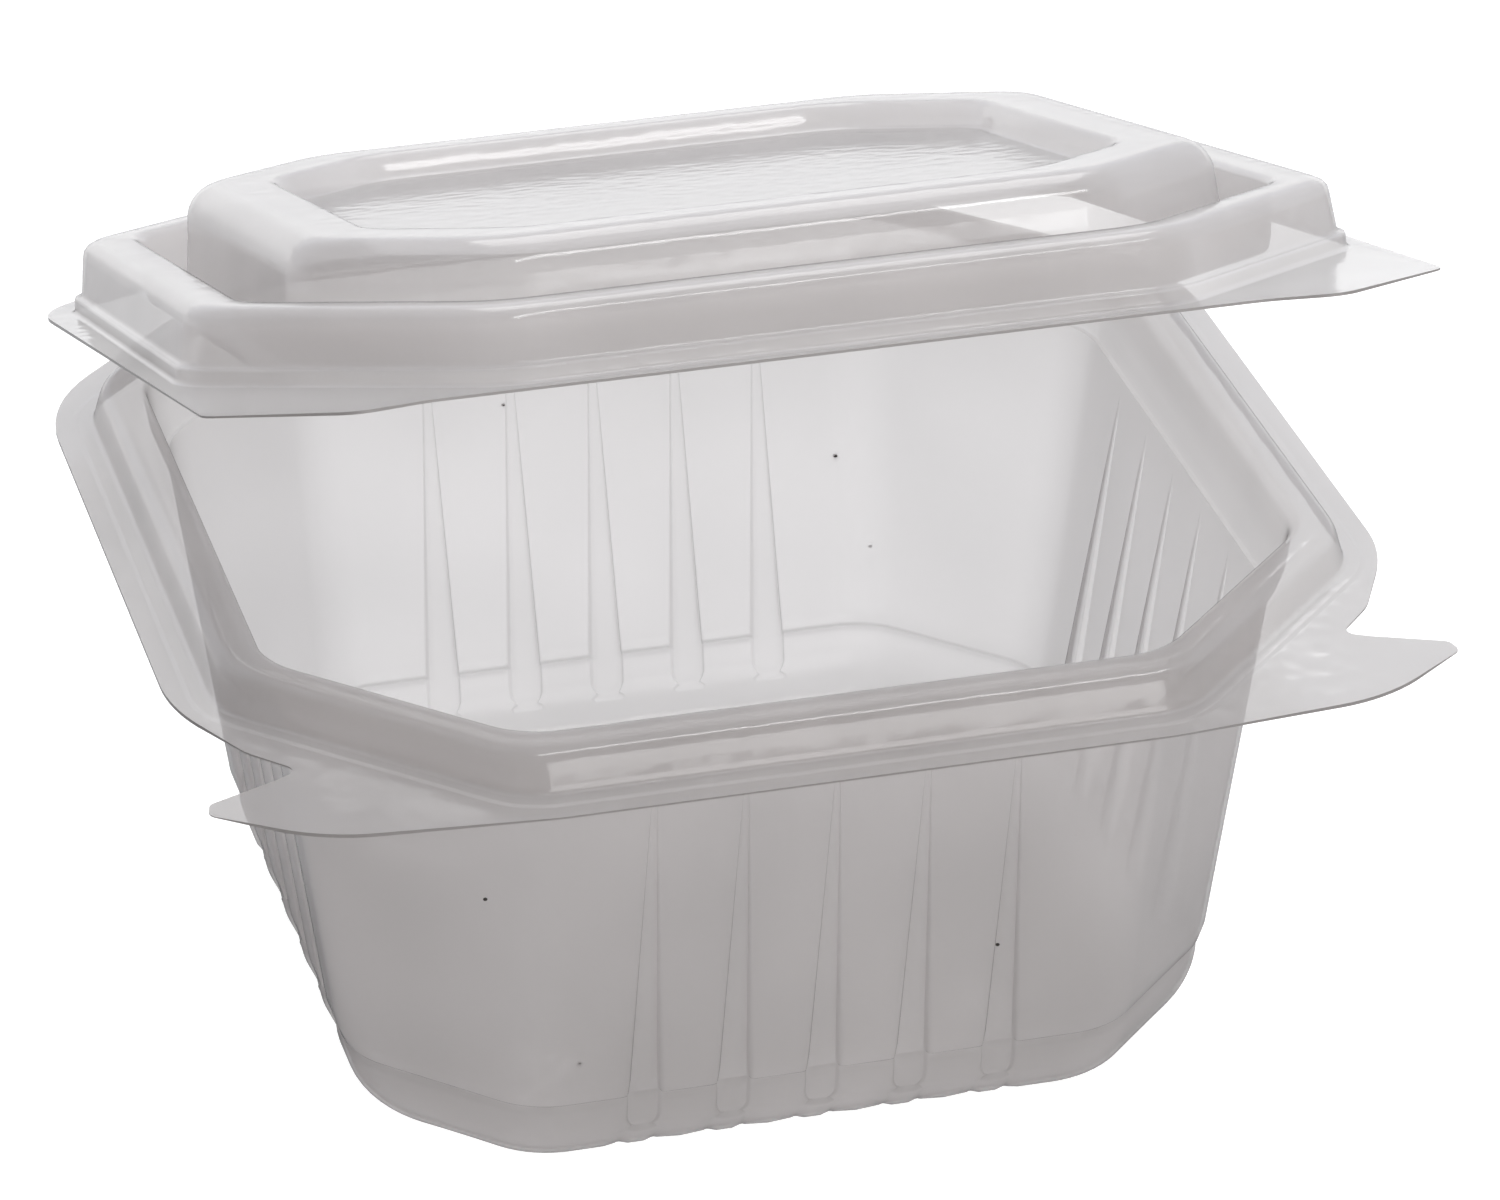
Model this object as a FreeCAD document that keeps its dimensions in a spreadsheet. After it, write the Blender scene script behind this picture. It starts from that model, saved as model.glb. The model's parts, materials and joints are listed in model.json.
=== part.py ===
import FreeCAD, Part
import math
import os
import Sketcher

# Hinged food pack, formed from one plastic sheet, in millimetres.
# The origin is at the middle of the tub's base, +Z up, the hinge at the back (+Y) and the tabs in front.
# Every wall is the space between an outer form and the same form set in by the sheet's thickness.

# Driving dimensions
SIZES = (
    ("sheet_gauge", 0.45),
    ("flange_level", 63.5),
    ("flange_half", 75.0),
    ("flange_corner_cut", 31.0),
    ("flange_corner_round", 24.0),
    ("rim_half", 63.5),
    ("rim_corner_cut", 25.0),
    ("corner_cut_rate", 0.75),
    ("corner_round", 11.0),
    ("bead_foot_half", 70.2),
    ("bead_shoulder_half", 69.2),
    ("bead_crest_half", 67.4),
    ("bead_shoulder_rise", 3.4),
    ("bead_rise", 5.2),
    ("lip_round", 1.1),
    ("collar_foot_half", 61.6),
    ("collar_depth", 4.1),
    ("wall_top_half", 61.0),
    ("wall_step_half", 54.35),
    ("step_depth", 52.5),
    ("step_width", 0.65),
    ("base_round", 10.4),
    ("flute_count", 5.0),
    ("flute_pitch", 11.1),
    ("flute_top_depth", 8.0),
    ("flute_below_step", 5.6),
    ("flute_width", 4.6),
    ("flute_floor_width", 3.0),
    ("flute_tip_width", 0.5),
    ("flute_sink", 0.9),
    ("flute_tip_sink", 0.08),
    ("tab_reach", 75.6),
    ("tab_tip_back", 61.8),
    ("notch_half", 64.1),
    ("notch_back", 55.6),
    ("tab_root", 37.0),
    ("hinge_reach", 79.0),
    ("hinge_width", 80.0),
    ("hinge_bead_radius", 0.6),
    ("hinge_clearance", 0.05),
    ("lid_gap", 0.3),
    ("lid_front_half", 74.3),
    ("lid_tab_front", 76.8),
    ("lid_tab_half", 73.4),
    ("lid_tab_side_cut", 10.6),
    ("lid_tab_front_cut", 15.6),
    ("lid_tab_root", 49.0),
    ("band_clearance", 0.55),
    ("band_step", 0.7),
    ("band_step_rise", 2.0),
    ("band_draft", 0.8),
    ("band_rise", 8.8),
    ("band_shoulder_drop", 1.4),
    ("band_crest_inset", 1.8),
    ("plug_clearance", 0.45),
    ("plug_draft", 0.8),
    ("groove_floor_rise", 0.6),
    ("groove_width", 3.7),
    ("plateau_rise", 14.7),
    ("plateau_draft", 1.3),
    ("plateau_round", 3.6),
    ("plateau_top_width", 6.9),
    ("panel_sink", 3.3),
    ("panel_draft", 1.4),
    ("panel_corner_cut", 15.0),
    ("open_angle", 18.85),
)

# Numbers that only keep a cutting tool past the face that it cuts
OVERCUT = 1.0
# Share of a quarter turn at which the rounded base is sampled
BASE_STEPS = 4


class Size:
    """A value together with the sheet formula that gives it."""

    def __init__(self, value, formula):
        self.value = value
        self.formula = formula

    def joined(self, sign, other, value):
        return Size(value, "(%s %s %s)" % (self.formula, sign, as_size(other).formula))

    def __add__(self, other):
        return self.joined("+", other, self.value + as_size(other).value)

    def __sub__(self, other):
        return self.joined("-", other, self.value - as_size(other).value)

    def __mul__(self, other):
        return self.joined("*", other, self.value * as_size(other).value)

    def __neg__(self):
        return Size(-self.value, "(-1 * %s)" % self.formula)


def as_size(number):
    if isinstance(number, Size):
        return number
    return Size(float(number), "%.9g" % number if number >= 0 else "(%.9g)" % number)


def make_sheet(doc):
    sheet = doc.addObject("Spreadsheet::Sheet", "sizes")
    for row, (alias, value) in enumerate(SIZES, start=1):
        sheet.set("A%d" % row, alias)
        sheet.set("B%d" % row, str(value))
        sheet.setAlias("B%d" % row, alias)
    doc.recompute()
    return {alias: Size(float(sheet.get(alias)), "sizes." + alias) for alias, value in SIZES}


def origin_part(body, role):
    for part in body.Origin.OriginFeatures:
        if part.Role == role:
            return part
    raise ValueError(role)


def new_sketch(body, name, level):
    sketch = body.newObject("Sketcher::SketchObject", name)
    sketch.AttachmentSupport = [(origin_part(body, "XY_Plane"), "")]
    sketch.MapMode = "FlatFace"
    sketch.AttachmentOffset = FreeCAD.Placement(FreeCAD.Vector(0, 0, level.value), FreeCAD.Rotation())
    sketch.setExpression("AttachmentOffset.Base.z", level.formula)
    return sketch


def corner_arc(before, corner, after, radius):
    """Tangent points, centre and turn of the arc that rounds one corner of an outline."""
    back = (before - corner).normalize()
    ahead = (after - corner).normalize()
    half_angle = back.getAngle(ahead) / 2
    length = radius / math.tan(half_angle)
    start = corner + back * length
    end = corner + ahead * length
    middle = (back + ahead).normalize()
    centre = corner + middle * (radius / math.sin(half_angle))
    turn = back.cross(ahead).z
    return start, end, centre, turn < 0


def bind(sketch, constraint, size):
    index = sketch.addConstraint(constraint)
    sketch.setExpression("Constraints[%d]" % index, size.formula)


def outline_sketch(body, name, level, corners):
    """Closed outline of straight runs and round corners, each corner given as (x, y, radius)."""
    sketch = new_sketch(body, name, level)
    count = len(corners)
    points = [FreeCAD.Vector(x.value, y.value, 0) for x, y, radius in corners]
    arcs = [corner_arc(points[k - 1], points[k], points[(k + 1) % count], corners[k][2].value)
            for k in range(count)]
    lines = [Part.LineSegment(arcs[k][1], arcs[(k + 1) % count][0]) for k in range(count)]
    sketch.addGeometry(lines, False)
    normal = FreeCAD.Vector(0, 0, 1)
    for start, end, centre, left_turn in arcs:
        first, last = (start, end) if left_turn else (end, start)
        circle = Part.Circle(centre, normal, (start - centre).Length)
        angles = [math.atan2((p - centre).y, (p - centre).x) for p in (first, last)]
        sketch.addGeometry(Part.ArcOfCircle(circle, angles[0], angles[1]), False)
    for point in points:
        sketch.addGeometry(Part.Point(point), True)
    joints = []
    for k, (start, end, centre, left_turn) in enumerate(arcs):
        arc, corner, before = count + k, 2 * count + k, (k - 1) % count
        first, last = (1, 2) if left_turn else (2, 1)
        joints.append(Sketcher.Constraint("Tangent", before, 2, arc, first))
        joints.append(Sketcher.Constraint("Tangent", arc, last, k, 1))
        joints.append(Sketcher.Constraint("PointOnObject", corner, 1, before))
        joints.append(Sketcher.Constraint("PointOnObject", corner, 1, k))
    sketch.addConstraint(joints)
    for k, (x, y, radius) in enumerate(corners):
        bind(sketch, Sketcher.Constraint("Radius", count + k, radius.value), radius)
        bind(sketch, Sketcher.Constraint("DistanceX", -1, 1, 2 * count + k, 1, x.value), x)
        bind(sketch, Sketcher.Constraint("DistanceY", -1, 1, 2 * count + k, 1, y.value), y)
    return sketch


def polygon_sketch(body, name, level, corners):
    """Closed outline of straight runs, each corner given as (x, y)."""
    sketch = new_sketch(body, name, level)
    count = len(corners)
    points = [FreeCAD.Vector(x.value, y.value, 0) for x, y in corners]
    sketch.addGeometry([Part.LineSegment(points[k], points[(k + 1) % count]) for k in range(count)], False)
    sketch.addConstraint([Sketcher.Constraint("Coincident", k, 2, (k + 1) % count, 1) for k in range(count)])
    for k, (x, y) in enumerate(corners):
        bind(sketch, Sketcher.Constraint("DistanceX", -1, 1, k, 1, x.value), x)
        bind(sketch, Sketcher.Constraint("DistanceY", -1, 1, k, 1, y.value), y)
    return sketch


def octagon_corners(s, half, cut=None):
    """Square of the given half width with its corners cut, less so the further in it lies."""
    if cut is None:
        cut = s["rim_corner_cut"] - (s["rim_half"] - half) * s["corner_cut_rate"]
    flat = half - cut
    turn = s["corner_round"]
    places = ((half, -flat), (half, flat), (flat, half), (-flat, half),
              (-half, flat), (-half, -flat), (-flat, -half), (flat, -half))
    return [(x, y, turn) for x, y in places]


def ring_loft(body, s, kind, name, levels, cut=None):
    """Straight-sided loft through octagons, each given as (half width, level)."""
    rings = [outline_sketch(body, "%s_ring_%d" % (name, k), level, octagon_corners(s, half, cut))
             for k, (half, level) in enumerate(levels)]
    loft = body.newObject(kind, name)
    loft.Profile = rings[0]
    loft.Sections = rings[1:]
    loft.Ruled = True
    return loft


def new_body(doc, name):
    body = doc.addObject("PartDesign::Body", name)
    body.Label = name
    return body


def base_levels(s, inset):
    """Rounded lower edge of the tub, from the flat base up to the step."""
    step_level = s["flange_level"] - s["step_depth"]
    foot_half = s["wall_step_half"] - s["step_width"] + s["sheet_gauge"] - inset
    levels = []
    for k in range(BASE_STEPS):
        turn = math.radians(90.0 * (BASE_STEPS - k) / BASE_STEPS)
        radius = s["base_round"] - inset
        half = foot_half - radius * (1 - math.cos(turn))
        level = s["base_round"] - radius * math.sin(turn)
        levels.append((half, level))
    levels.append((foot_half, s["base_round"]))
    levels.append((foot_half, step_level + inset))
    return levels


def cut_flutes(body, s, inset):
    """Tapering flutes down each wall: a row on the front wall, repeated on all four walls."""
    span = s["step_depth"] - s["collar_depth"]
    slope = (s["wall_top_half"].value - s["wall_step_half"].value) / span.value
    row_half = (s["flute_count"] - 1) * 0.5 * s["flute_pitch"]
    face_step = s["wall_step_half"] + s["sheet_gauge"] - inset
    ends = (
        ("top", s["flute_top_depth"], s["flute_tip_width"], s["flute_tip_width"], s["flute_tip_sink"]),
        ("foot", s["step_depth"] + s["flute_below_step"], s["flute_width"], s["flute_floor_width"],
         s["flute_sink"]),
    )
    sketches = []
    for end, depth, mouth, floor, sink in ends:
        rise = s["step_depth"] - depth
        face = face_step + rise * Size(slope, "((%s - %s) / %s)" % (
            s["wall_top_half"].formula, s["wall_step_half"].formula, span.formula))
        low = face - sink
        left = -row_half
        corners = ((left - mouth * 0.5 - inset, -face - OVERCUT), (left + mouth * 0.5 + inset, -face - OVERCUT),
                   (left + floor * 0.5 + inset, -low), (left - floor * 0.5 - inset, -low))
        sketches.append(polygon_sketch(body, "flute_%s" % end, s["flange_level"] - depth, corners))
    flute = body.newObject("PartDesign::SubtractiveLoft", "flute")
    flute.Profile = sketches[0]
    flute.Sections = sketches[1:]
    flute.Ruled = True
    row = body.newObject("PartDesign::LinearPattern", "flute_row")
    row.Direction = (origin_part(body, "X_Axis"), [""])
    row.Length = row_half.value * 2
    row.setExpression("Length", (row_half * 2).formula)
    row.Occurrences = int(s["flute_count"].value)
    row.setExpression("Occurrences", s["flute_count"].formula)
    walls = body.newObject("PartDesign::PolarPattern", "flute_walls")
    walls.Axis = (origin_part(body, "Z_Axis"), [""])
    walls.Angle = 360
    walls.Occurrences = 4
    every = body.newObject("PartDesign::MultiTransform", "flutes")
    every.Originals = [flute]
    every.Transformations = [row, walls]
    body.Tip = every


def tub_form(doc, s, name, inset):
    """Tub as a solid block: its outer face with no inset, its hollow with the sheet as inset."""
    body = new_body(doc, name)
    flange = s["flange_level"]
    shift = s["sheet_gauge"] - inset
    step_level = flange - s["step_depth"] + inset
    collar_level = flange - s["collar_depth"] - shift
    ring_loft(body, s, "PartDesign::AdditiveLoft", "base", base_levels(s, inset))
    ring_loft(body, s, "PartDesign::AdditiveLoft", "walls", (
        (s["wall_step_half"] + shift, step_level),
        (s["wall_top_half"] + shift, collar_level),
    ))
    crest = flange + s["bead_rise"]
    ring_loft(body, s, "PartDesign::AdditiveLoft", "collar", (
        (s["collar_foot_half"] + shift, collar_level),
        (s["rim_half"] + shift, crest - s["lip_round"]),
        (s["rim_half"] + s["lip_round"] + shift, crest),
    ))
    cut_flutes(body, s, inset)
    return body


def bead_form(doc, s, name, inset):
    """Block under the rim bead's outer face and top, or the hollow inside it with the sheet as inset."""
    body = new_body(doc, name)
    flange = s["flange_level"]
    ring_loft(body, s, "PartDesign::AdditiveLoft", "bead", (
        (s["bead_foot_half"] - inset, flange - s["sheet_gauge"]),
        (s["bead_shoulder_half"] - inset, flange + s["bead_shoulder_rise"] - inset * 0.4),
        (s["bead_crest_half"] - inset * 0.4, flange + s["bead_rise"] - inset),
    ))
    return body


def mirrored(right_side):
    """Whole outline from its right half, given from the front middle round to the back middle."""
    left_side = [(-x, y, radius) for x, y, radius in reversed(right_side)]
    return right_side + left_side


def tub_flange(doc, s):
    """Flat flange with the two opening tabs in front and the crease's strip behind."""
    body = new_body(doc, "tub_flange")
    half = s["flange_half"]
    cut = s["flange_corner_cut"]
    big = s["flange_corner_round"]
    tip = s["tab_reach"]
    right_side = [
        (s["tab_root"], -half, as_size(30)),
        (tip - 12, -half + 2.6, as_size(22)),
        (tip, -s["tab_tip_back"] - 2.2, as_size(1.4)),
        (tip - 0.6, -s["tab_tip_back"] + 0.2, as_size(1.2)),
        (s["notch_half"] + 2.4, -s["notch_back"] - 2.4, as_size(2.2)),
        (s["notch_half"] - 0.7, -s["notch_back"] - 0.7, as_size(1.3)),
        (s["notch_half"] + 5.0, -s["notch_back"] + 5.2, as_size(12)),
        (half, -half + cut + 1.0, big),
        (half, half - cut, big),
        (s["hinge_width"] * 0.5, s["hinge_reach"], as_size(1.0)),
    ]
    outline = outline_sketch(body, "flange_outline", s["flange_level"] - s["sheet_gauge"],
                             mirrored(right_side))
    pad = body.newObject("PartDesign::Pad", "flange_plate")
    pad.Profile = outline
    pad.Length = s["sheet_gauge"].value
    pad.setExpression("Length", s["sheet_gauge"].formula)
    return body


def lid_level(s):
    """Top of the lid's flange with the lid closed."""
    return s["flange_level"] + s["lid_gap"] + s["sheet_gauge"]


def lid_flange(doc, s):
    """Flat flange of the lid, with pointed tabs over the tub's tabs."""
    body = new_body(doc, "lid_flange")
    half = s["flange_half"]
    front = s["lid_front_half"]
    tab_front = s["lid_tab_front"]
    tab_half = s["lid_tab_half"]
    right_side = [
        (s["lid_tab_root"], -front, as_size(14)),
        (tab_half - s["lid_tab_front_cut"], -tab_front, as_size(5)),
        (tab_half, -tab_front + s["lid_tab_side_cut"], as_size(3)),
        (half, half - s["flange_corner_cut"], s["flange_corner_round"]),
        (s["hinge_width"] * 0.5, s["hinge_reach"], as_size(1.0)),
    ]
    outline = outline_sketch(body, "lid_outline", lid_level(s) - s["sheet_gauge"], mirrored(right_side))
    pad = body.newObject("PartDesign::Pad", "lid_plate")
    pad.Profile = outline
    pad.Length = s["sheet_gauge"].value
    pad.setExpression("Length", s["sheet_gauge"].formula)
    return body


def lid_form(doc, s, name, inset):
    """Lid as a solid block under its upper face, or the hollow below it with the sheet as inset."""
    body = new_body(doc, name)
    top = lid_level(s)
    floor_level = top - s["sheet_gauge"]
    if inset.value:
        floor_level = floor_level - OVERCUT
    foot = s["bead_foot_half"] + s["band_clearance"] + s["sheet_gauge"] - inset
    side = foot - s["band_step"]
    crest = top + s["band_rise"] - inset
    ring_loft(body, s, "PartDesign::AdditiveLoft", "band_foot", (
        (foot, floor_level),
        (foot, top + s["band_step_rise"] - inset),
    ))
    ring_loft(body, s, "PartDesign::AdditiveLoft", "band", (
        (side, top + s["band_step_rise"] - inset),
        (side - s["band_draft"], crest - s["band_shoulder_drop"]),
        (side - s["band_draft"] - s["band_crest_inset"], crest),
    ))
    plug = s["rim_half"] - s["plug_clearance"] - s["sheet_gauge"] + inset
    groove_floor = top + s["groove_floor_rise"] - inset
    ring_loft(body, s, "PartDesign::SubtractiveLoft", "well", (
        (plug - s["plug_draft"], groove_floor),
        (plug, crest - s["band_shoulder_drop"] * 0.5),
        (plug + OVERCUT, crest + OVERCUT),
    ))
    plateau_foot = s["rim_half"] - s["plug_clearance"] - s["sheet_gauge"] - s["plug_draft"] - s["groove_width"]
    plateau_foot = plateau_foot - inset
    plateau_top = top + s["plateau_rise"] - inset
    shoulder = plateau_foot - s["plateau_draft"]
    corner = s["plateau_round"]
    ring_loft(body, s, "PartDesign::AdditiveLoft", "plateau", (
        (plateau_foot, floor_level),
        (plateau_foot, groove_floor),
        (shoulder, plateau_top - corner),
        (shoulder - corner * 0.3, plateau_top - corner * 0.3),
        (shoulder - corner, plateau_top),
    ))
    recess = s["rim_half"] - s["plug_clearance"] - s["sheet_gauge"] - s["plug_draft"] - s["groove_width"]
    recess = recess - s["plateau_draft"] - corner - s["plateau_top_width"] + inset
    panel = plateau_top - s["panel_sink"]
    ring_loft(body, s, "PartDesign::SubtractiveLoft", "recess", (
        (recess - s["panel_draft"], panel),
        (recess, plateau_top),
        (recess, plateau_top + OVERCUT),
    ), s["panel_corner_cut"])
    return body


def combine(doc, kind, name, first, second):
    result = doc.addObject(kind, name)
    result.Label = name
    result.Base = first
    result.Tool = second
    return result


def hinge_level(s):
    """The crease's axis lies half way between the two flanges' facing sides."""
    return s["flange_level"] + s["lid_gap"] * 0.5


def hinge_rod(doc, s, name, radius, length):
    """Round bar along the crease."""
    rod = doc.addObject("Part::Cylinder", name)
    rod.Radius = radius.value
    rod.Height = length.value
    rod.Placement = FreeCAD.Placement(
        FreeCAD.Vector(-length.value / 2, s["hinge_reach"].value, hinge_level(s).value),
        FreeCAD.Rotation(FreeCAD.Vector(0, 1, 0), 90))
    rod.setExpression("Radius", radius.formula)
    rod.setExpression("Height", length.formula)
    rod.setExpression("Placement.Base.x", (length * -0.5).formula)
    rod.setExpression("Placement.Base.y", s["hinge_reach"].formula)
    rod.setExpression("Placement.Base.z", hinge_level(s).formula)
    return rod


def make_tub(doc, s):
    no_inset = as_size(0)
    outer = tub_form(doc, s, "tub_outer_form", no_inset)
    hollow = tub_form(doc, s, "tub_hollow_form", s["sheet_gauge"])
    bead = bead_form(doc, s, "bead_outer_form", no_inset)
    bead_hollow = bead_form(doc, s, "bead_hollow_form", s["sheet_gauge"])
    flange = tub_flange(doc, s)
    crease = hinge_rod(doc, s, "hinge_crease", s["hinge_bead_radius"], s["hinge_width"] - 2)
    blank = doc.addObject("Part::MultiFuse", "tub_blank")
    blank.Shapes = [outer, bead, flange, crease]
    under_rim = combine(doc, "Part::Cut", "under_rim", bead_hollow, outer)
    opened = combine(doc, "Part::Cut", "tub_opened", blank, hollow)
    return combine(doc, "Part::Cut", "tub", opened, under_rim)


def make_lid(doc, s):
    upper = lid_form(doc, s, "lid_upper_form", as_size(0))
    under = lid_form(doc, s, "lid_under_form", s["sheet_gauge"])
    flange = lid_flange(doc, s)
    room = hinge_rod(doc, s, "crease_room", s["hinge_bead_radius"] + s["hinge_clearance"],
                     s["hinge_width"] + OVERCUT)
    blank = combine(doc, "Part::Fuse", "lid_blank", upper, flange)
    opened = combine(doc, "Part::Cut", "lid_opened", blank, under)
    lid = combine(doc, "Part::Cut", "lid", opened, room)
    open_about_crease(lid, s)
    return lid


def open_about_crease(lid, s):
    """Turn the closed lid up to the angle at which it stands ajar."""
    angle = s["open_angle"]
    reach = s["hinge_reach"]
    level = hinge_level(s)
    turn = math.radians(angle.value)
    lid.Placement = FreeCAD.Placement(
        FreeCAD.Vector(0, reach.value * (1 - math.cos(turn)) - level.value * math.sin(turn),
                       level.value * (1 - math.cos(turn)) + reach.value * math.sin(turn)),
        FreeCAD.Rotation(FreeCAD.Vector(-1, 0, 0), angle.value))
    words = (reach.formula, angle.formula, level.formula, angle.formula)
    lid.setExpression("Placement.Base.y", "%s * (1 - cos(%s * 1deg)) - %s * sin(%s * 1deg)" % words)
    words = (level.formula, angle.formula, reach.formula, angle.formula)
    lid.setExpression("Placement.Base.z", "%s * (1 - cos(%s * 1deg)) + %s * sin(%s * 1deg)" % words)
    lid.setExpression("Placement.Rotation.Angle", angle.formula)


def check_objects(doc, pieces):
    for thing in doc.Objects:
        if "Invalid" in thing.State or "Error" in thing.State:
            raise RuntimeError("%s is %s" % (thing.Name, thing.State))
    for piece in pieces:
        if piece.Shape.isNull() or not piece.Shape.isValid():
            raise RuntimeError(piece.Label + " has no valid shape")
        if len(piece.Shape.Solids) != 1:
            raise RuntimeError("%s has %d solids" % (piece.Label, len(piece.Shape.Solids)))


def main():
    doc = FreeCAD.newDocument("clamshell_pack")
    sizes = make_sheet(doc)
    pieces = [make_tub(doc, sizes), make_lid(doc, sizes)]
    doc.recompute()
    check_objects(doc, pieces)
    os.makedirs("parts", exist_ok=True)
    for piece in pieces:
        piece.Shape.exportStep(os.path.join("parts", piece.Label + ".step"))
        print(piece.Label, round(piece.Shape.Volume), "mm3,", len(piece.Shape.Faces), "faces")


main()
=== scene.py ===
import json
import math

import bmesh
import bpy
from mathutils import Matrix, Vector


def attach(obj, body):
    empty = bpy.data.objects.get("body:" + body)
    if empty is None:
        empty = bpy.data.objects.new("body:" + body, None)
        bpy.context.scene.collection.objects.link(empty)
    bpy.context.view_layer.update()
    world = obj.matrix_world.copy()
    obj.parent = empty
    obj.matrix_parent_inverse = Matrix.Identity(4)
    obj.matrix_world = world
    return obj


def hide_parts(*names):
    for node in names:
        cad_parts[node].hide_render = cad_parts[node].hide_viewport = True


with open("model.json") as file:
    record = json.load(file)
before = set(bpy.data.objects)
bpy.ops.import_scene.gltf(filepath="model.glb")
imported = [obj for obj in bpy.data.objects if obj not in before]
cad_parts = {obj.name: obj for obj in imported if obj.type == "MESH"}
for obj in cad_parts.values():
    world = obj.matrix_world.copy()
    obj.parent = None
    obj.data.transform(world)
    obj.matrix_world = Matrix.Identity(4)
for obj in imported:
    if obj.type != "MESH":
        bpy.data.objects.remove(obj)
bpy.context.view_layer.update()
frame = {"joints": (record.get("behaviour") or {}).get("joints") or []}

# Sizes in millimetres, with the origin at the middle of the tub's base; MM turns them into metres
MM = 0.001
SHEET = 0.45
FLANGE = 63.5
LID_GAP = 0.3
LID_TOP = FLANGE + LID_GAP + SHEET

# Octagonal rings: the corner cut shrinks as a ring lies further in
RIM_HALF = 63.5
RIM_CUT = 25.0
CUT_RATE = 0.75
RING_TURN = 11.0

# Flutes of the tub's walls; their marks lie across a flute, as shares of its half width
FLUTES = 5
FLUTE_PITCH = 11.1
FLUTE_TOP = FLANGE - 8.0
FLUTE_FOOT = 5.7
FLUTE_WIDTH = 4.7
FLUTE_TIP_WIDTH = 0.7
FLUTE_SINK = 1.1
FLUTE_TIP_SINK = 0.1
FLUTE_BRIM = 0.8
FLUTE_END_SINK = 0.4
FLUTE_END_CLEAR = 0.3
FLUTE_MARKS = (-1.15, -1.03, -0.97, -0.91, -0.85, -0.76, -0.4, 0.4, 0.76, 0.85, 0.91, 0.97, 1.03, 1.15)

# Levels and half widths of the tub's walls, on the inner face of the sheet
WALL_TOP = FLANGE - 4.1
STEP = FLANGE - 52.5
WALL_TOP_HALF = 61.0
WALL_STEP_HALF = 54.35
STEP_WIDTH = 0.65
BASE_ROUND = 10.4
TUB_EDGE = FLANGE - 0.2

# Rises of the lid's forms over its closed flange, and their half widths
PANEL_RISE = 11.4
CROWN_RISE = 14.7
GROOVE_RISE = 0.6
RECESS_HALF = 46.0
SHOULDER_HALF = 56.6
SHOULDER_TURN = 4.35

# Steps of the meshes: in arcs, on the corners, from a corner to the first flute, up the tub and on the lid
ARC_STEPS = 8
CORNER_STEPS = 4
LEAD_STEPS = 4
BASE_STEPS = 26
WALL_ROWS = 22
LID_STEPS = 24
PANEL_SHARES = (0.3, 0.65, 0.9)

# Limit on the sheet's thickness at tight folds, and the fold in degrees from which an edge is sharp
FOLD_LIMIT = 1.5
SHARP_FOLD = 48.0

# Dust specks in the tub's front and back walls (-1 and 1): place across, level, wall and radius
SPECKS = ((32.7, 34.9, 1, 0.34), (37.1, 21.6, 1, 0.28), (-42.4, 44.4, -1, 0.27), (-12.0, 47.5, 1, 0.26),
          (21.0, 27.0, -1, 0.26), (-30.5, 18.0, -1, 0.25))
SPECK_FLATNESS = 0.7

# Thickening along the living hinge
CREASE_RADIUS = 0.58
CREASE_LENGTH = 77.6
CREASE_SIDES = 20

# Camera fitted to the photograph: millimetres and radians
CAMERA_TARGET = (3.40, -7.77, 51.10)
CAMERA_DISTANCE = 926.9
CAMERA_YAW = 0.261
CAMERA_PITCH = 0.491
CAMERA_ROLL = -0.002
CAMERA_LENS = 180.0
CAMERA_SENSOR = 36.0

# Studio in front of the pack and behind it, with the depths in metres between which its light changes
FLOOR_SIZE = 8.0
FLOOR_TONE = 0.42
FLOOR_LIFT = 0.85
SWEEP_EDGE = (0.1, 0.6)
ROOM_FRONT = (0.055, 0.044, 0.04)
ROOM_BACK = (1.22, 1.25, 1.32)
ROOM_EDGE = (-0.12, 0.62)
ROOM_TILT = (0.18, 0.90, 0.38)

# Lights as (name, place, width, height, power), in metres and watts; each one faces the pack
LIGHTS = (("back_light", (0.2, 0.9, 1.2), 0.9, 0.9, 8.0),
          ("strip_light", (0.2, -0.38, 0.9), 0.8, 0.1, 2.6),
          ("front_card", (0.25, -0.98, 0.28), 0.7, 0.45, 4.2))

# Ripples and clouds of the sheet: scales per metre, height in metres, depth as a share of the colour
CLOUD_SCALE = 60.0
CLOUD_DEPTH = 0.12
RIPPLE_SCALE = 420.0
RIPPLE_STRENGTH = 0.5
RIPPLE_HEIGHT = 0.00012

# Optics of the sheet: what a slanting look leaves of the clear light, the tint of that light, and the skin
SLANT_BLEND = 0.35
SLANT_SHARE = 0.25
CLEAR_TINT = (0.97, 0.965, 0.96)
SKIN_IOR = 1.49

hinge = frame["joints"][0]
HINGE_PLACE = Vector(hinge["pos_m"])
HINGE_AXIS = Vector(hinge["axis"])
OPEN_ANGLE = -math.radians(hinge["range_deg"][0])


def clamp(value, low, high):
    return max(low, min(high, value))


def smooth(t):
    t = clamp(t, 0.0, 1.0)
    return t * t * (3.0 - 2.0 * t)


# Rings of points

def corner_cut(half):
    return RIM_CUT - (RIM_HALF - half) * CUT_RATE


def flute_middle(k):
    return (k - (FLUTES - 1) / 2.0) * FLUTE_PITCH


def tub_places(reach, marks, span):
    """Places along one wall of the tub: clusters at the flutes, and even steps out to both corners."""
    inner = []
    for k in range(FLUTES):
        inner += [flute_middle(k) + mark * span for mark in marks]
        if k < FLUTES - 1:
            inner.append(flute_middle(k) + FLUTE_PITCH / 2.0)
    lead = [-reach + (inner[0] + reach) * k / LEAD_STEPS for k in range(LEAD_STEPS)]
    return lead + inner + [-place for place in reversed(lead)]


def lid_places(reach):
    """Even places along one wall of the lid."""
    return [-reach + 2.0 * reach * k / LID_STEPS for k in range(LID_STEPS + 1)]


def arc_point(centre, degrees):
    angle = math.radians(degrees)
    return centre.x + RING_TURN * math.cos(angle), centre.y + RING_TURN * math.sin(angle), None


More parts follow.
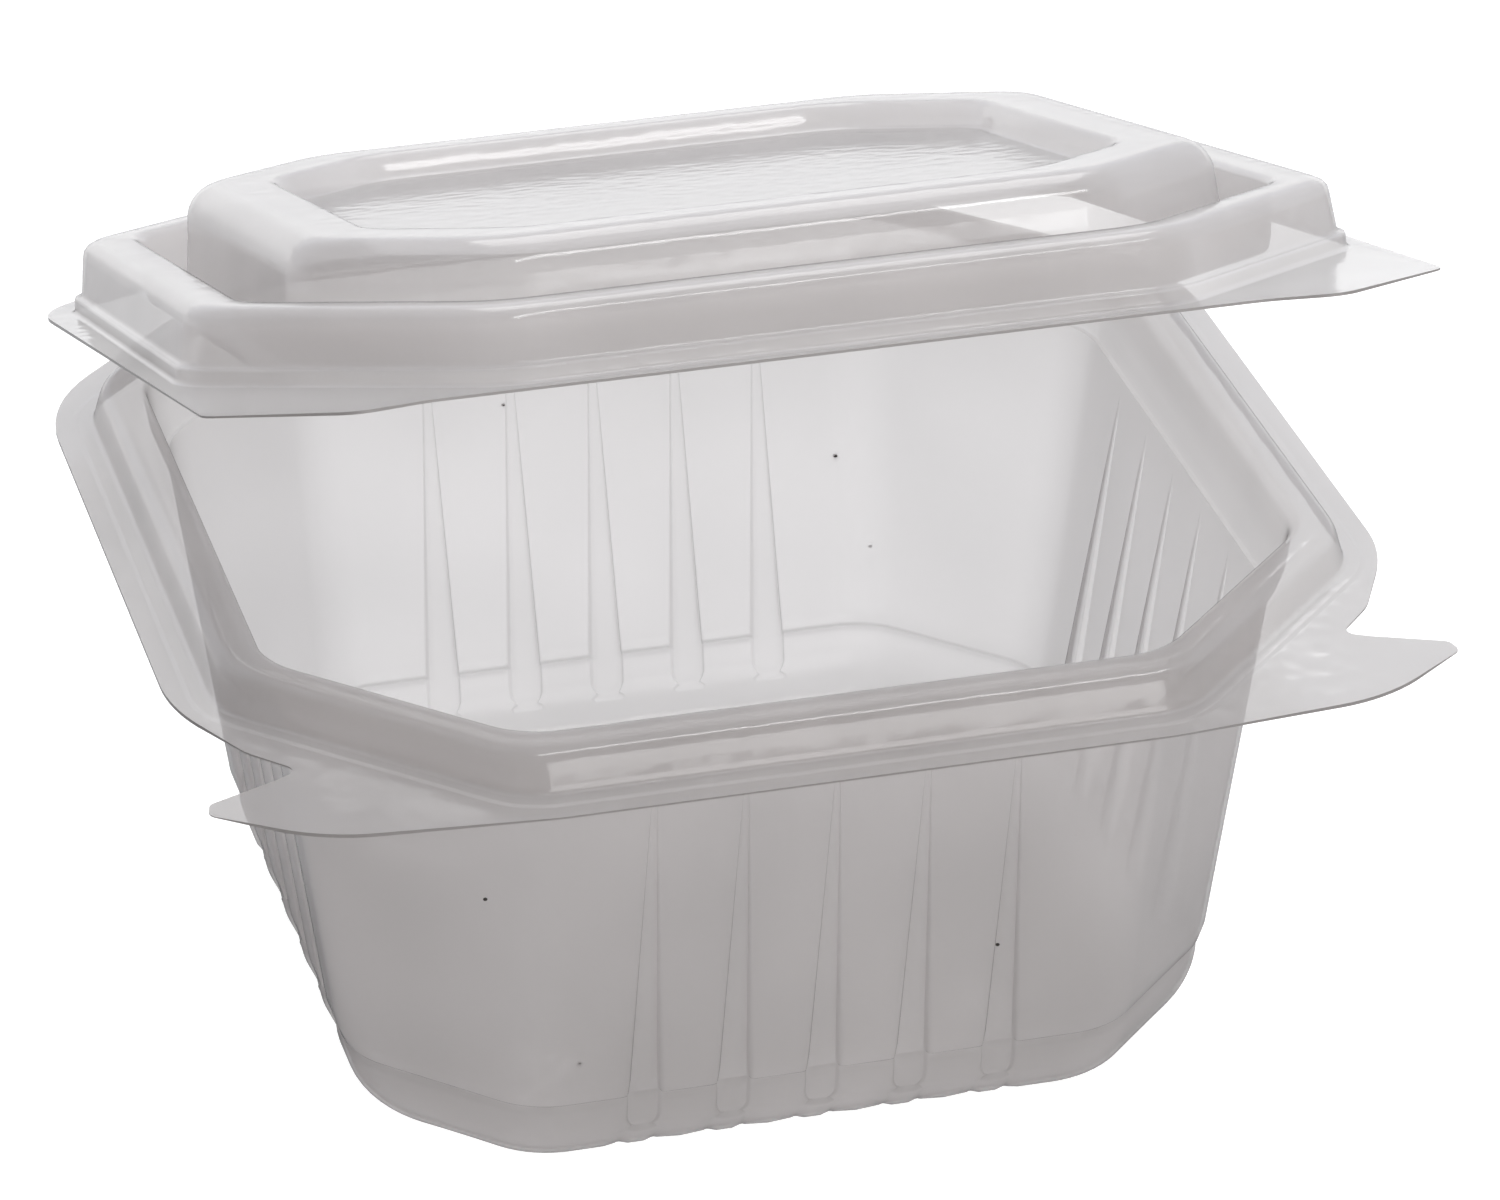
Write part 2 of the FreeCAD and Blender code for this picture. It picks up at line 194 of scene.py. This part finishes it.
def ring(half, places, cut=None):
    """Octagon with round corners as (x, y, along, wall): along is the place on a main wall, or None."""
    cut = corner_cut(half) if cut is None else cut
    reach = half - cut - RING_TURN * math.tan(math.radians(22.5))
    first = Vector((reach, -half + RING_TURN))
    last = Vector((half - RING_TURN, -reach))
    quarter = [(u, -half, u) for u in places(reach)]
    quarter += [arc_point(first, -90.0 + 45.0 * k / ARC_STEPS) for k in range(1, ARC_STEPS + 1)]
    start = Vector(quarter[-1][:2])
    end = last + RING_TURN * Vector((math.cos(math.radians(-45.0)), math.sin(math.radians(-45.0))))
    quarter += [(*start.lerp(end, k / CORNER_STEPS), None) for k in range(1, CORNER_STEPS)]
    quarter += [arc_point(last, -45.0 + 45.0 * k / ARC_STEPS) for k in range(ARC_STEPS)]
    points = []
    for wall in range(4):
        spin = Matrix.Rotation(math.radians(90.0 * wall), 2)
        for x, y, along in quarter:
            spun = spin @ Vector((x, y))
            points.append((spun.x, spun.y, along, wall))
    return points


# Flutes

def flute_share(level):
    """How far down a flute a level lies, from 0 at its tip to 1 at the step."""
    return clamp((FLUTE_TOP - level) / (FLUTE_TOP - STEP), 0.0, 1.0)


def flute_span(level):
    """Half width of a flute at a level."""
    return (FLUTE_TIP_WIDTH + (FLUTE_WIDTH - FLUTE_TIP_WIDTH) * flute_share(level)) / 2.0


def flute_end(level):
    """Share of a flute's width left at a level of its round lower end."""
    turn = FLUTE_WIDTH / 2.0
    if level >= FLUTE_FOOT + turn:
        return 1.0
    return math.sqrt(clamp(1.0 - ((FLUTE_FOOT + turn - level) / turn) ** 2, 0.0, 1.0))


def wall_line(level):
    """Half width of the sheet's inner face on the line of the main wall, carried on below the step."""
    slope = (WALL_TOP_HALF - WALL_STEP_HALF) / (WALL_TOP - STEP)
    return WALL_STEP_HALF + (level - STEP) * slope


def flute_depth(half, level):
    """How far a flute's floor lies behind the wall: on one line from the tip down, then the round end."""
    if level > FLUTE_TOP or level < FLUTE_FOOT:
        return 0.0
    sink = FLUTE_TIP_SINK + (FLUTE_SINK - FLUTE_TIP_SINK) * flute_share(level)
    depth = half - wall_line(level) + sink
    return max(depth, FLUTE_END_SINK) if level < STEP else depth


def in_flute(along, span):
    """How far into a flute a place on a wall lies, from 0 on the wall to 1 on the flute's floor."""
    if along is None or span <= 0.0:
        return 0.0
    k = clamp(round(along / FLUTE_PITCH + (FLUTES - 1) / 2.0), 0, FLUTES - 1)
    away = abs(along - flute_middle(k)) / span
    return 1.0 - smooth((away - FLUTE_BRIM) / (1.0 - FLUTE_BRIM))


def push_in(x, y, wall, amount):
    """Moves a point of a main wall straight towards the middle."""
    angle = math.radians(-90.0 + 90.0 * wall)
    return x - amount * math.cos(angle), y - amount * math.sin(angle)


# Profiles and rings of the sheet's inner and upper face, from the middle out to the flange

def tub_profile():
    """Stations as (half width, level, fluted) from the base up, over the bead and down to the flange."""
    foot_half = WALL_STEP_HALF - STEP_WIDTH
    radius = BASE_ROUND - SHEET
    base = []
    for k in range(BASE_STEPS + 1):
        angle = math.radians(90.0 * k / BASE_STEPS)
        half = foot_half - radius + radius * math.sin(angle)
        base.append((half, SHEET + radius * (1.0 - math.cos(angle))))
    ledge = STEP + SHEET
    step = [(foot_half + out, ledge + up) for out, up in (
        (0.02, -0.22), (0.12, -0.05), (0.32, 0.0), (0.52, 0.06), (0.66, 0.26))]
    wall_foot = ledge + 0.3
    wall_head = FLUTE_TOP + 0.6
    levels = [wall_foot + (wall_head - wall_foot) * k / WALL_ROWS for k in range(1, WALL_ROWS + 1)]
    wall = [(wall_line(level), level) for level in levels]
    neck = [(wall_line(level), level) for level in (WALL_TOP - 2.0, WALL_TOP - 0.5)]
    neck += [(WALL_TOP_HALF + out, WALL_TOP + up) for out, up in (
        (0.02, -0.08), (0.22, 0.0), (0.45, 0.06), (0.62, 0.3))]
    bead = [(half, FLANGE + rise) for half, rise in (
        (62.0, -2.6), (62.5, -1.2), (62.8, -0.4), (63.0, 0.8), (63.2, 2.2), (63.4, 3.6), (63.55, 4.3),
        (63.85, 4.8), (64.3, 5.1), (64.9, 5.2), (66.0, 5.2), (66.9, 5.18), (67.7, 5.02), (68.3, 4.72),
        (68.8, 4.2), (69.2, 3.4), (69.55, 2.2), (69.85, 1.1), (70.0, 0.5), (70.15, 0.2), (70.4, 0.04),
        (70.8, 0.0), (71.9, 0.0), (72.2, -0.05), (72.5, -0.16))]
    fluted = [(half, level, True) for half, level in base + step + wall]
    return fluted + [(half, level, False) for half, level in neck + bead + [(72.8, TUB_EDGE)]]


def tub_ring(half, level, fluted):
    span = flute_span(level)
    share = flute_end(level)
    narrowed = share if level > FLUTE_FOOT + FLUTE_END_CLEAR else 1.0
    marks = [mark * narrowed for mark in FLUTE_MARKS]
    points = []
    for x, y, along, wall in ring(half, lambda reach: tub_places(reach, marks, span)):
        if fluted and along is not None:
            sunk = max(0.0, flute_depth(half, level)) * in_flute(along, span * share)
            x, y = push_in(x, y, wall, sunk)
        points.append(Vector((x, y, level)))
    return points


def lid_profile():
    """Stations as (half width, level, corner cut) from the sunk panel out over the plateau and the band."""
    panel = LID_TOP + PANEL_RISE
    crown = LID_TOP + CROWN_RISE
    groove = LID_TOP + GROOVE_RISE
    recess = [(RECESS_HALF + out, level, cut) for out, level, cut in (
        (-1.75, panel, 14.6), (-1.4, panel + 0.1, 14.7), (-1.15, panel + 0.4, 14.8),
        (-0.7, panel + 1.4, 14.9), (-0.2, panel + 2.6, 15.0), (0.1, panel + 3.0, 15.1),
        (0.55, crown - 0.05, 15.2), (1.1, crown, 15.3), (3.0, crown, 16.2), (5.0, crown, 17.0))]
    shoulder = []
    for k in range(ARC_STEPS + 1):
        angle = math.radians(90.0 * k / ARC_STEPS)
        half = SHOULDER_HALF - SHOULDER_TURN + SHOULDER_TURN * math.sin(angle)
        shoulder.append((half, crown - SHOULDER_TURN + SHOULDER_TURN * math.cos(angle)))
    fall = [(half, LID_TOP + rise) for half, rise in ((56.8, 8.0), (57.2, 4.6), (57.75, 1.4))]
    trough = [(half, groove + rise) for half, rise in (
        (57.95, 0.3), (58.2, 0.06), (58.6, 0.0), (60.2, 0.0), (61.5, 0.0), (61.8, 0.08), (62.0, 0.35))]
    band = [(half, LID_TOP + rise) for half, rise in (
        (62.1, 2.0), (62.4, 5.0), (62.65, 7.7), (62.85, 8.3), (63.2, 8.65), (63.8, 8.8), (65.6, 8.8),
        (67.2, 8.78), (68.2, 8.6), (69.0, 8.2), (69.5, 7.6), (69.7, 6.6), (70.2, 2.6), (70.32, 2.25),
        (70.5, 2.06), (70.85, 2.0), (71.08, 1.9), (71.2, 1.6), (71.2, 0.6), (71.28, 0.25),
        (71.5, 0.05), (71.9, 0.0))]
    return recess + [(half, level, None) for half, level in shoulder + fall + trough + band]


def lid_ring(half, level, cut):
    return [Vector((x, y, level)) for x, y, along, wall in ring(half, lid_places, cut)]


# Outlines of the flanges

def half_outline(corners):
    """Right half of a symmetric outline turned into the whole one."""
    return corners + [(-x, y, turn) for x, y, turn in reversed(corners)]


def rounded(corners):
    """Closed outline of straight runs with an arc at each corner (x, y, radius)."""
    points = []
    count = len(corners)
    for k, (x, y, radius) in enumerate(corners):
        here = Vector((x, y))
        back = (Vector(corners[k - 1][:2]) - here).normalized()
        ahead = (Vector(corners[(k + 1) % count][:2]) - here).normalized()
        half_angle = back.angle(ahead) / 2.0
        centre = here + (back + ahead).normalized() * (radius / math.sin(half_angle))
        start = here + back * (radius / math.tan(half_angle)) - centre
        sweep = math.pi - 2.0 * half_angle
        if back.cross(ahead) > 0.0:
            sweep = -sweep
        for step in range(ARC_STEPS + 1):
            turned = Matrix.Rotation(sweep * step / ARC_STEPS, 2) @ start
            points.append(centre + turned)
    return points


def tub_outline():
    """Edge of the tub's flange with its opening tabs, from the front middle round to the back."""
    return rounded(half_outline([
        (37.0, -75.0, 30.0), (63.6, -72.4, 22.0), (75.6, -64.0, 1.4), (75.0, -61.6, 1.2),
        (66.5, -58.0, 2.2), (63.4, -56.3, 1.3), (68.6, -50.6, 10.0), (75.0, -37.5, 24.0),
        (75.0, 44.0, 24.0), (40.0, 79.0, 1.0)]))


def lid_outline():
    """Edge of the closed lid's flange with its front tabs, from the front middle round to the back."""
    return rounded(half_outline([
        (49.0, -74.3, 14.0), (57.8, -76.8, 5.0), (73.4, -66.2, 3.0), (75.0, 44.0, 24.0),
        (40.0, 79.0, 1.0)]))


# Pieces

def add_piece(name, mesh):
    """Turns a finished bmesh into an object of the scene."""
    data = bpy.data.meshes.new(name)
    mesh.to_mesh(data)
    mesh.free()
    piece = bpy.data.objects.new(name, data)
    bpy.context.scene.collection.objects.link(piece)
    return piece


def shell(name, rings, outline, flange_level):
    """Sheet through the rings, closed at its middle by a fan and at its edge by the flange's outline."""
    mesh = bmesh.new()
    panel = [[Vector((point.x * share, point.y * share, point.z)) for point in rings[0]]
             for share in PANEL_SHARES]
    loops = [[mesh.verts.new(point * MM) for point in points] for points in panel + rings]
    count = len(loops[0])
    middle = mesh.verts.new(Vector((0.0, 0.0, rings[0][0].z)) * MM)
    for k in range(count):
        mesh.faces.new((middle, loops[0][k], loops[0][(k + 1) % count]))
    for low, high in zip(loops, loops[1:]):
        for k in range(count):
            after = (k + 1) % count
            mesh.faces.new((low[k], high[k], high[after], low[after]))
    edge = [mesh.verts.new(Vector((p.x, p.y, flange_level)) * MM) for p in outline]
    border = [mesh.edges.new((edge[k], edge[(k + 1) % len(edge)])) for k in range(len(edge))]
    rim = [mesh.edges.get((loops[-1][k], loops[-1][(k + 1) % count])) for k in range(count)]
    bmesh.ops.triangle_fill(mesh, edges=border + rim, use_beauty=True, normal=(0.0, 0.0, 1.0))
    bmesh.ops.recalc_face_normals(mesh, faces=mesh.faces)
    return add_piece(name, mesh)


def thicken(piece, side):
    """Gives the sheet its thickness, with its cut edge as a second material, and keeps its sharp edges."""
    solid = piece.modifiers.new("sheet", "SOLIDIFY")
    solid.thickness = SHEET * MM
    solid.offset = side
    solid.use_even_offset = True
    solid.thickness_clamp = FOLD_LIMIT
    solid.use_rim = True
    solid.material_offset_rim = 1
    applied = bpy.data.meshes.new_from_object(piece.evaluated_get(bpy.context.evaluated_depsgraph_get()))
    piece.modifiers.clear()
    piece.data = applied
    for face in piece.data.polygons:
        face.use_smooth = True
    piece.data.set_sharp_from_angle(angle=math.radians(SHARP_FOLD))


def make_tub():
    rings = [tub_ring(half, level, fluted) for half, level, fluted in tub_profile()]
    return shell("tub_sheet_painted_shade", rings, tub_outline(), TUB_EDGE)


def make_lid():
    """Lid as it lies when it is closed."""
    rings = [lid_ring(half, level, cut) for half, level, cut in lid_profile()]
    return shell("lid_sheet_painted_light", rings, lid_outline(), LID_TOP)


def open_lid(piece):
    """Turns the closed lid up about the crease, to the angle at which the frame holds it."""
    turn = Matrix.Translation(HINGE_PLACE) @ Matrix.Rotation(OPEN_ANGLE, 4, HINGE_AXIS)
    piece.data.transform(turn @ Matrix.Translation(-HINGE_PLACE))


def make_crease():
    """Round thickening of the sheet along the living hinge, on the tub's back edge."""
    mesh = bmesh.new()
    bmesh.ops.create_cone(mesh, cap_ends=True, segments=CREASE_SIDES, radius1=CREASE_RADIUS * MM,
                          radius2=CREASE_RADIUS * MM, depth=CREASE_LENGTH * MM)
    turn = Matrix.Translation(HINGE_PLACE) @ Matrix.Rotation(math.radians(90.0), 4, "Y")
    bmesh.ops.transform(mesh, matrix=turn, verts=mesh.verts)
    return add_piece("crease", mesh)


def make_specks():
    """Specks of dust that were caught in the tub's sheet."""
    mesh = bmesh.new()
    for x, level, side, radius in SPECKS:
        y = side * wall_line(level) + (SHEET if side > 0.0 else -SHEET) / 2.0
        place = Matrix.Translation(Vector((x, y, level)) * MM)
        place = place @ Matrix.Diagonal((1.0, 1.0, SPECK_FLATNESS, 1.0))
        bmesh.ops.create_icosphere(mesh, subdivisions=2, radius=radius * MM, matrix=place)
    return add_piece("specks", mesh)


# Nodes that the materials and the world are built from

def new_material(name):
    material = bpy.data.materials.new(name)
    material.use_nodes = True
    nodes = material.node_tree.nodes
    links = material.node_tree.links
    shader = nodes["Principled BSDF"]
    return material, nodes, links, shader


def math_node(nodes, operation):
    node = nodes.new("ShaderNodeMath")
    node.operation = operation
    return node


def colour_mix(nodes, first, second):
    tone = nodes.new("ShaderNodeMix")
    tone.data_type = "RGBA"
    tone.inputs["A"].default_value = (*first, 1.0)
    tone.inputs["B"].default_value = (*second, 1.0)
    return tone


def soft_edge(nodes, edge):
    """Map Range node that rises softly from 0 to 1 between the two values of an edge."""
    rise = nodes.new("ShaderNodeMapRange")
    rise.interpolation_type = "SMOOTHSTEP"
    rise.inputs["From Min"].default_value = edge[0]
    rise.inputs["From Max"].default_value = edge[1]
    return rise


def noise(nodes, links, scale):
    """Plain soft noise, fixed to the piece."""
    place = nodes.new("ShaderNodeTexCoord")
    grain = nodes.new("ShaderNodeTexNoise")
    grain.inputs["Scale"].default_value = scale
    grain.inputs["Detail"].default_value = 0.0
    links.new(place.outputs["Object"], grain.inputs["Vector"])
    return grain.outputs[0]


def layered(nodes, links, share, under, over):
    """Two shaders mixed by a share, given as a number or as a node's output."""
    mix = nodes.new("ShaderNodeMixShader")
    if isinstance(share, float):
        mix.inputs["Fac"].default_value = share
    else:
        links.new(share, mix.inputs["Fac"])
    links.new(under, mix.inputs[1])
    links.new(over, mix.inputs[2])
    return mix.outputs[0]


# Materials

def clear_share(nodes, links, clear):
    """Share of light that goes straight through one face: less where the sheet is seen at a slant."""
    slant = nodes.new("ShaderNodeLayerWeight")
    slant.inputs["Blend"].default_value = SLANT_BLEND
    share = nodes.new("ShaderNodeMapRange")
    share.inputs["To Min"].default_value = clear
    share.inputs["To Max"].default_value = clear * SLANT_SHARE
    links.new(slant.outputs["Facing"], share.inputs["Value"])
    return share.outputs[0]


def cloudy(nodes, links, colour):
    """Colour with faint clouds, where the sheet was drawn out a little thinner or stayed thicker."""
    dark = [part * (1.0 - CLOUD_DEPTH) for part in colour]
    light = [part * (1.0 + CLOUD_DEPTH) for part in colour]
    tone = colour_mix(nodes, dark, light)
    links.new(noise(nodes, links, CLOUD_SCALE), tone.inputs["Factor"])
    return tone.outputs["Result"]


def ripples(nodes, links):
    """Soft orange peel of the formed sheet, as a bump of its skin."""
    bump = nodes.new("ShaderNodeBump")
    bump.inputs["Strength"].default_value = RIPPLE_STRENGTH
    bump.inputs["Distance"].default_value = RIPPLE_HEIGHT
    links.new(noise(nodes, links, RIPPLE_SCALE), bump.inputs["Height"])
    return bump.outputs[0]


def sheet_material(name, colour, glow, clear, roughness):
    """Milky sheet: a hazy body that lets light through, straight and scattered, under a glossy skin.

    Light is scattered where it enters the sheet, and leaves it again without any more of it.
    """
    material, nodes, links, body = new_material(name)
    body.inputs["Base Color"].default_value = (*colour, 1.0)
    body.inputs["Roughness"].default_value = roughness
    body.inputs["Specular IOR Level"].default_value = 0.0
    haze = nodes.new("ShaderNodeBsdfTranslucent")
    links.new(cloudy(nodes, links, colour), haze.inputs["Color"])
    straight = nodes.new("ShaderNodeBsdfTransparent")
    straight.inputs["Color"].default_value = (*CLEAR_TINT, 1.0)
    skin = nodes.new("ShaderNodeBsdfAnisotropic")
    skin.inputs["Roughness"].default_value = roughness
    links.new(ripples(nodes, links), skin.inputs["Normal"])
    milky = layered(nodes, links, glow, body.outputs[0], haze.outputs[0])
    if clear > 0.0:
        milky = layered(nodes, links, clear_share(nodes, links, clear), milky, straight.outputs[0])
    fresnel = nodes.new("ShaderNodeFresnel")
    fresnel.inputs["IOR"].default_value = SKIN_IOR
    glossy = layered(nodes, links, fresnel.outputs[0], milky, skin.outputs[0])
    side = nodes.new("ShaderNodeNewGeometry")
    way_out = nodes.new("ShaderNodeBsdfTransparent")
    whole = layered(nodes, links, side.outputs["Backfacing"], glossy, way_out.outputs[0])
    links.new(whole, nodes["Material Output"].inputs["Surface"])
    return material


def dust_material():
    material, nodes, links, shader = new_material("dust")
    shader.inputs["Base Color"].default_value = (0.05, 0.045, 0.04, 1.0)
    shader.inputs["Roughness"].default_value = 0.8
    return material


def paper_material():
    """White paper that the camera sees as plain background, and the gloss as bright far behind the pack."""
    material, nodes, links, shader = new_material("floor_paper")
    shader.inputs["Base Color"].default_value = (FLOOR_TONE, FLOOR_TONE, FLOOR_TONE, 1.0)
    shader.inputs["Roughness"].default_value = 0.9
    shader.inputs["Emission Color"].default_value = (1.0, 1.0, 1.0, 1.0)
    path = nodes.new("ShaderNodeLightPath")
    where = nodes.new("ShaderNodeNewGeometry")
    place = nodes.new("ShaderNodeSeparateXYZ")
    sweep = soft_edge(nodes, SWEEP_EDGE)
    mirrored = math_node(nodes, "MULTIPLY")
    seen = math_node(nodes, "MAXIMUM")
    lift = math_node(nodes, "MULTIPLY")
    lift.inputs[1].default_value = FLOOR_LIFT
    links.new(where.outputs["Position"], place.inputs[0])
    links.new(place.outputs["Y"], sweep.inputs["Value"])
    links.new(path.outputs["Is Glossy Ray"], mirrored.inputs[0])
    links.new(sweep.outputs[0], mirrored.inputs[1])
    links.new(path.outputs["Is Camera Ray"], seen.inputs[0])
    links.new(mirrored.outputs[0], seen.inputs[1])
    links.new(seen.outputs[0], lift.inputs[0])
    links.new(lift.outputs[0], shader.inputs["Emission Strength"])
    return material


# Stage, lights and camera

def make_floor():
    bpy.ops.mesh.primitive_plane_add(size=FLOOR_SIZE, location=(0.0, 0.0, 0.0))
    floor = bpy.context.object
    floor.name = "floor"
    floor.data.materials.append(paper_material())


def make_light(name, place, width, height, power):
    data = bpy.data.lights.new(name, "AREA")
    data.shape = "RECTANGLE"
    data.size = width
    data.size_y = height
    data.energy = power
    light = bpy.data.objects.new(name, data)
    light.location = place
    light.rotation_euler = (-Vector(place)).to_track_quat("-Z", "Y").to_euler()
    bpy.context.scene.collection.objects.link(light)


def make_world():
    """Bright studio behind and above the pack and a dimmer room in front of it; the camera sees white."""
    world = bpy.data.worlds.new("studio")
    world.use_nodes = True
    nodes = world.node_tree.nodes
    links = world.node_tree.links
    where = nodes.new("ShaderNodeTexCoord")
    tilt = nodes.new("ShaderNodeVectorMath")
    tilt.operation = "DOT_PRODUCT"
    tilt.inputs[1].default_value = ROOM_TILT
    depth = soft_edge(nodes, ROOM_EDGE)
    tone = colour_mix(nodes, ROOM_FRONT, ROOM_BACK)
    lit = nodes["Background"]
    seen = nodes.new("ShaderNodeBackground")
    seen.inputs["Color"].default_value = (1.0, 1.0, 1.0, 1.0)
    path = nodes.new("ShaderNodeLightPath")
    links.new(where.outputs["Generated"], tilt.inputs[0])
    links.new(tilt.outputs["Value"], depth.inputs["Value"])
    links.new(depth.outputs[0], tone.inputs["Factor"])
    links.new(tone.outputs["Result"], lit.inputs["Color"])
    whole = layered(nodes, links, path.outputs["Is Camera Ray"], lit.outputs[0], seen.outputs[0])
    links.new(whole, nodes["World Output"].inputs["Surface"])
    bpy.context.scene.world = world


def make_camera():
    forward = Vector((math.sin(CAMERA_YAW) * math.cos(CAMERA_PITCH),
                      math.cos(CAMERA_YAW) * math.cos(CAMERA_PITCH), -math.sin(CAMERA_PITCH)))
    level_right = Vector((math.cos(CAMERA_YAW), -math.sin(CAMERA_YAW), 0.0))
    level_up = level_right.cross(forward)
    right = math.cos(CAMERA_ROLL) * level_right + math.sin(CAMERA_ROLL) * level_up
    up = -math.sin(CAMERA_ROLL) * level_right + math.cos(CAMERA_ROLL) * level_up
    place = (Vector(CAMERA_TARGET) - forward * CAMERA_DISTANCE) * MM
    data = bpy.data.cameras.new("photo_camera")
    data.lens = CAMERA_LENS
    data.sensor_width = CAMERA_SENSOR
    camera = bpy.data.objects.new("photo_camera", data)
    turned = Matrix((right, up, -forward)).transposed().to_4x4()
    camera.matrix_world = Matrix.Translation(place) @ turned
    bpy.context.scene.collection.objects.link(camera)
    bpy.context.scene.camera = camera


tub = make_tub()
lid = make_lid()
# Tub and lid are one plastic, but the lid's sheet gets a lighter colour and the tub's a darker one: painted
# light on the lid and painted shade on the tub
tub_wall_painted_shade = sheet_material("tub_sheet_painted_shade", colour=(0.69, 0.66, 0.648), glow=0.70, clear=0.29, roughness=0.12)
lid_wall_painted_light = sheet_material("lid_sheet_painted_light", colour=(0.83, 0.803, 0.792), glow=0.70, clear=0.36, roughness=0.12)
cut_edge = sheet_material("cut_edge", colour=(0.34, 0.32, 0.31), glow=0.2, clear=0.0, roughness=0.4)
for sheet, node, wall in ((tub, "tub", tub_wall_painted_shade), (lid, "lid", lid_wall_painted_light)):
    sheet.data.materials.append(wall)
    sheet.data.materials.append(cut_edge)
    thicken(sheet, -1.0)
    if sheet is lid:
        open_lid(sheet)
    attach(sheet, node)
    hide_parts(node)

crease = make_crease()
crease.data.materials.append(tub_wall_painted_shade)
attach(crease, "tub")

specks = make_specks()
specks.data.materials.append(dust_material())
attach(specks, "tub")

make_floor()
make_world()
for name, place, width, height, power in LIGHTS:
    make_light(name, place, width, height, power)
make_camera()
bpy.context.scene.view_settings.view_transform = "Standard"
bpy.context.scene.cycles.max_bounces = 3
bpy.context.scene.cycles.diffuse_bounces = 2
bpy.context.scene.cycles.glossy_bounces = 1
bpy.context.scene.cycles.transparent_max_bounces = 6
